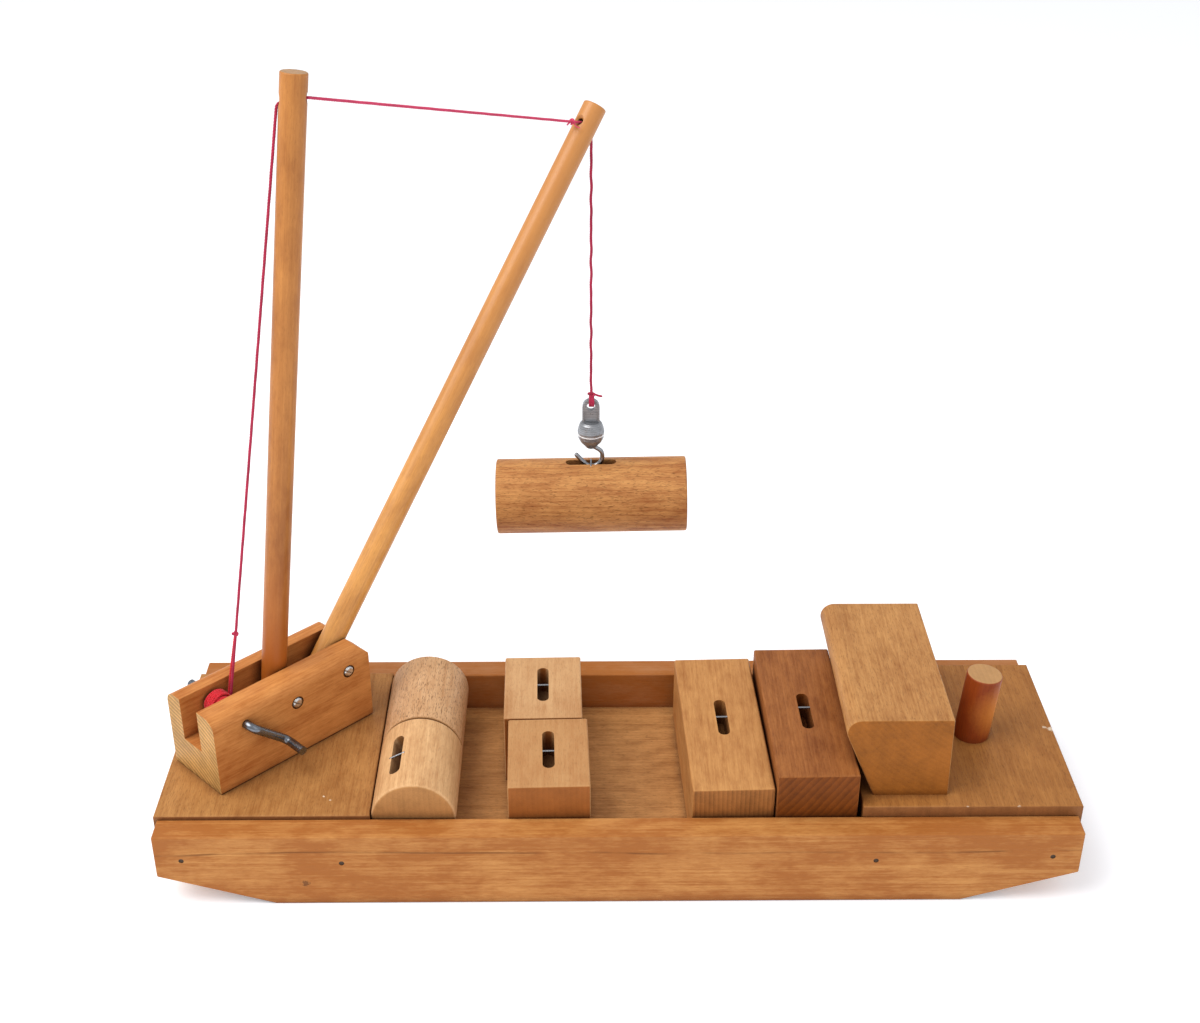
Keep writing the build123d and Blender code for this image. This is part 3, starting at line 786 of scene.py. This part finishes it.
def make_span_string(material):
    route = crane_route(SPAN_ROUTE)
    start = route[0]
    end = route[-1]
    piece, path = twisted("span_string_twist", smooth_path(route), material)
    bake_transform(piece)
    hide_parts("span_string_mast_half", "span_string_boom_half")
    lump = knot("boom_string_knot", end, end - start, SMALL_KNOT, material)
    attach(lump, "boom_spar")
    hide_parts("boom_knot")
    lip = crane_point(*BOOM_LIP)
    inside = lip + (lip - end) * BOOM_NECK_REACH
    neck, _ = twisted("boom_string_neck", smooth_path([end, lip, inside]), material)
    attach(neck, "boom_spar")
    short = tail("boom_string_tail", steps_from(end, BOOM_TAIL), material, BOOM_TAIL_RADIUS)
    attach(short, "boom_spar")
    frayed = tail("boom_string_frayed_end", steps_from(end, BOOM_FRAY), material, BOOM_FRAY_RADIUS)
    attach(frayed, "boom_spar")


def loop_steps(across):
    """One loop of string from its knot, down through the swivel's eye and back."""
    down = [(across, -out, height) for out, height in LOOP_SIDE]
    up = [(across, out, height) for out, height in reversed(LOOP_SIDE)]
    return [(0, 0, 0), *down, (across, 0, LOOP_FOOT), *up, (0, 0, 0)]


def make_fall_string(material):
    low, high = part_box("fall_string")
    x = (low[0] + high[0]) / 2
    y = (low[1] + high[1]) / 2
    top = Vector((x, y, high[2] - FALL_TOP_GAP))
    bottom = Vector((x, y, low[2]))
    route = [top, top - Vector((0, 0, 6 * STRING_DIAMETER)), bottom]
    piece, path = twisted("fall_string_twist", smooth_path(route), material, fullness=FALL_FULLNESS,
                          sway=FALL_SWAY)
    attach(piece, "fall")
    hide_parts("fall_string")
    centre = bottom + Vector(FALL_KNOT_SHIFT)
    lump = knot("fall_string_knot", centre, FALL_KNOT_AXIS, FALL_KNOT, material)
    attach(lump, "fall")
    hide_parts("fall_knot")
    loose = tail("fall_string_tail", steps_from(bottom, FALL_TAIL), material, FALL_TAIL_RADIUS)
    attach(loose, "fall")
    for number, across in enumerate(LOOP_PLACES, start=1):
        steps = steps_from(bottom, loop_steps(across))
        loop = tail(f"fall_string_loop_{number}", steps, material, FALL_TAIL_RADIUS)
        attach(loop, "fall")


def make_strings():
    crimson = string_material("crimson_string", (0.52, 0.014, 0.068), (0.20, 0.004, 0.026))
    rose = string_material("rose_string", (0.70, 0.045, 0.140), (0.36, 0.012, 0.050))
    scarlet = string_material("scarlet_string", (0.72, 0.008, 0.022), (0.30, 0.003, 0.009))
    make_winding(scarlet)
    make_back_string(crimson, scarlet)
    make_span_string(rose)
    make_fall_string(crimson)


# ---------------------------------------------------------------- floor and light

def make_floor():
    material, shader = new_material("floor")
    shader.inputs["Base Color"].default_value = FLOOR_COLOUR
    shader.inputs["Emission Color"].default_value = FLOOR_GLOW_COLOUR
    shader.inputs["Emission Strength"].default_value = FLOOR_GLOW
    shader.inputs["Roughness"].default_value = 0.9
    shader.inputs["Specular IOR Level"].default_value = 0.1
    corners = [(x * FLOOR_HALF, y * FLOOR_HALF, 0) for x, y in ((-1, -1), (1, -1), (1, 1), (-1, 1))]
    mesh = bpy.data.meshes.new("floor")
    mesh.from_pydata(corners, [], [(0, 1, 2, 3)])
    mesh.materials.append(material)
    floor = bpy.data.objects.new("floor", mesh)
    bpy.context.scene.collection.objects.link(floor)


def area_light(name, place_at, size, power, colour):
    data = bpy.data.lights.new(name, "AREA")
    data.shape = "SQUARE"
    data.size = size
    data.energy = power
    data.color = colour
    light = bpy.data.objects.new(name, data)
    light.location = place_at
    direction = Vector(LIGHT_AIM) - Vector(place_at)
    light.rotation_euler = direction.to_track_quat("-Z", "Y").to_euler()
    bpy.context.scene.collection.objects.link(light)


def make_light():
    world = bpy.data.worlds.new("studio")
    world.use_nodes = True
    background = world.node_tree.nodes["Background"]
    background.inputs["Color"].default_value = SKY_COLOUR
    background.inputs["Strength"].default_value = SKY_STRENGTH
    bpy.context.scene.world = world
    area_light("key", **KEY_LIGHT)
    area_light("fill", **FILL_LIGHT)
    bpy.context.scene.view_settings.view_transform = "Standard"


make_camera()
make_strings()
paint_hull()
paint_crane()
paint_cargo()
paint_metal()
make_floor()
make_light()
